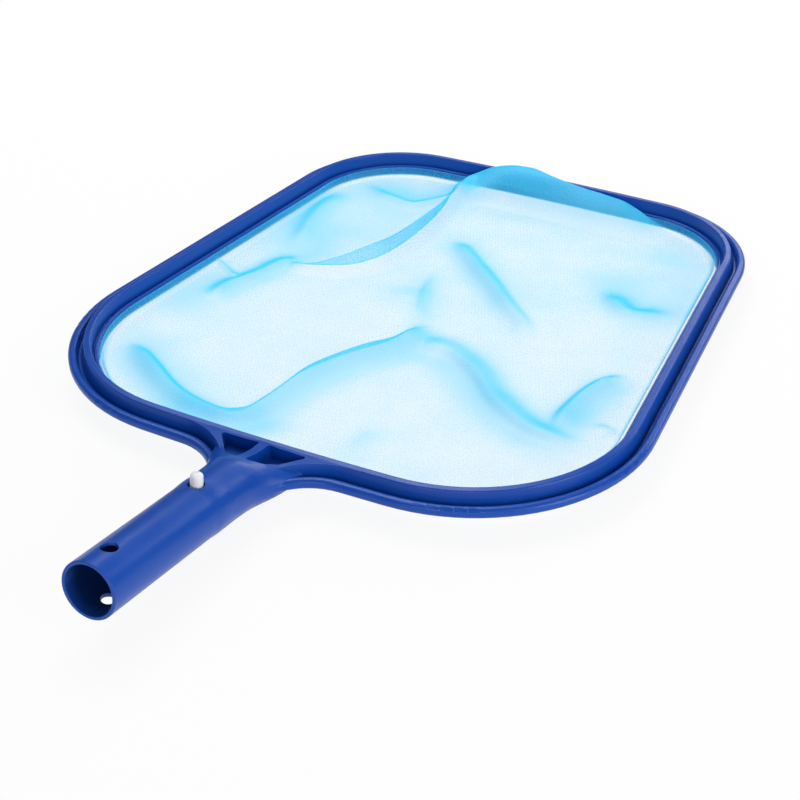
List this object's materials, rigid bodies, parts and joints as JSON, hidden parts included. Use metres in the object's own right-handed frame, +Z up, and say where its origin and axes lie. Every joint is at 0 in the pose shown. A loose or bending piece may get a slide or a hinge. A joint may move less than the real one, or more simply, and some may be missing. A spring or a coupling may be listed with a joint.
{
  "type": "leaf skimmer net",
  "caption": "Flat leaf skimmer: a moulded rim holds a fine mesh panel, and its tubular socket slides into a pole and locks with a pair of spring buttons.",
  "frame": {"origin": "centre of the socket's mouth, on the socket's axis, where its straight outer wall begins", "axes": "+Y from the socket's mouth towards the far side of the rim, +Z up, square to the rim's plane, +X across the rim"},
  "size_m": [0.333, 0.5037, 0.0439],
  "materials": {
    "frame_plastic": "smooth moulded, semi-gloss",
    "net_mesh": "fine open weave, slightly shiny nylon",
    "spline_plastic": "satin",
    "spring_steel": "rolled strip",
    "button_nylon": "smooth white nylon"
  },
  "bodies": {
    "skimmer": {"frame": "frame_plastic", "net": "net_mesh", "net_spline": "spline_plastic", "clip_bow": "spring_steel"},
    "upper_latch": {"clip_upper_leg": "spring_steel", "upper_button": "button_nylon"},
    "lower_latch": {"clip_lower_leg": "spring_steel", "lower_button": "button_nylon"}
  },
  "joints": [
    {"name": "upper_button_press", "type": "hinge", "parent": "skimmer", "child": "upper_latch", "pos_m": [0, 0.10485, -0.00211], "axis": [1, 0, 0], "range_deg": [0, 13.6], "stiffness_Nm_per_rad": 0.15, "springref_deg": -5.73},
    {"name": "lower_button_press", "type": "hinge", "parent": "skimmer", "child": "lower_latch", "pos_m": [0, 0.10215, -0.02374], "axis": [-1, 0, 0], "range_deg": [0, 13.6], "stiffness_Nm_per_rad": 0.15, "springref_deg": -5.73}
  ]
}
